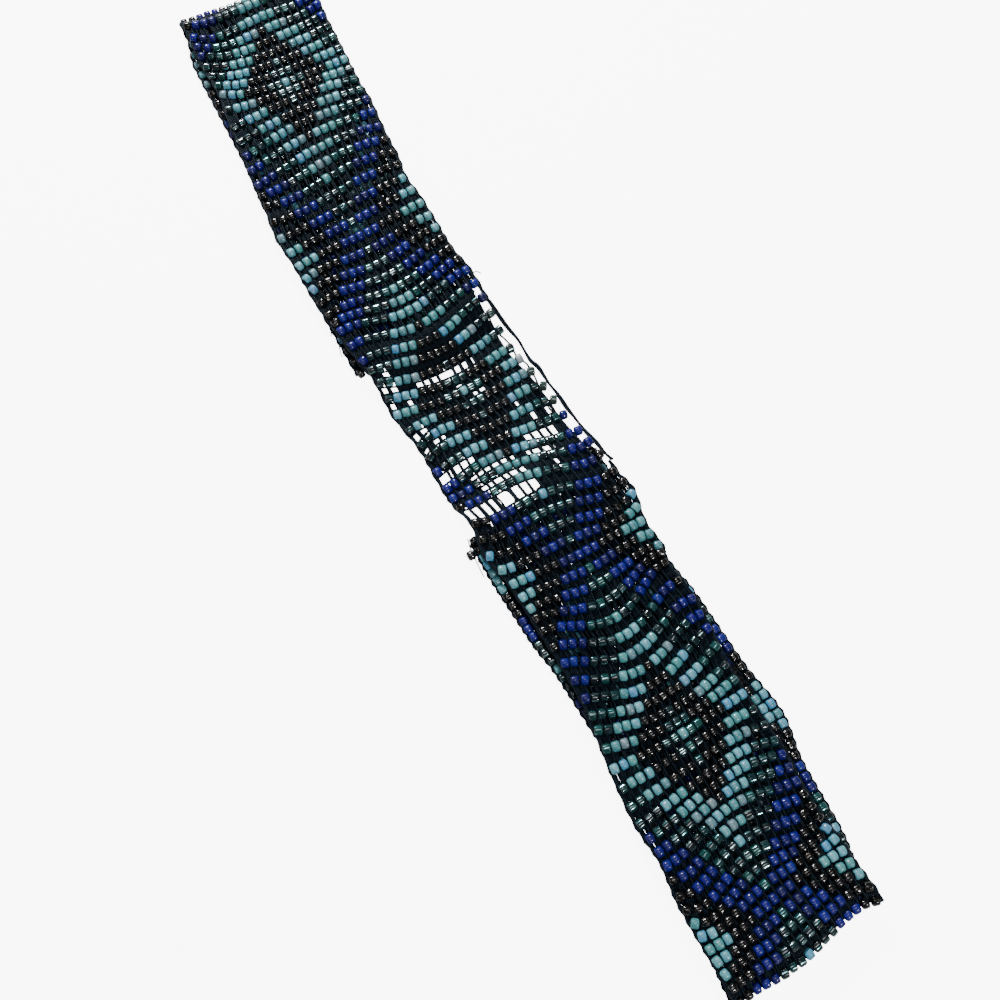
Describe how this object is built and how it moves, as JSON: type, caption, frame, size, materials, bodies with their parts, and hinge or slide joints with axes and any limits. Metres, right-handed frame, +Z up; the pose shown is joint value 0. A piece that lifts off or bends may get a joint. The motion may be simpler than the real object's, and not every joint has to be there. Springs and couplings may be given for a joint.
{
  "type": "beaded belt",
  "caption": "Loom-woven glass bead belt with a diamond pattern, folded double over both ends and lying flat, its cut ends tucked under and a single open layer in the middle.",
  "frame": {"origin": "middle of the bottom of the whole belt's box, on the surface that it lies on", "axes": "+X along the folded belt towards the fold near the picture's lower right corner, +Y across it, +Z up"},
  "size_m": [0.4368, 0.0726, 0.0107],
  "materials": {
    "woven_band": "glossy opaque, silver-lined and iris glass seed beads woven on black polyester thread",
    "stop_bead": "dark bronze iris glass seed bead"
  },
  "bodies": {
    "root": {"woven_band": "woven_band", "stop_bead": "stop_bead"}
  },
  "joints": []
}
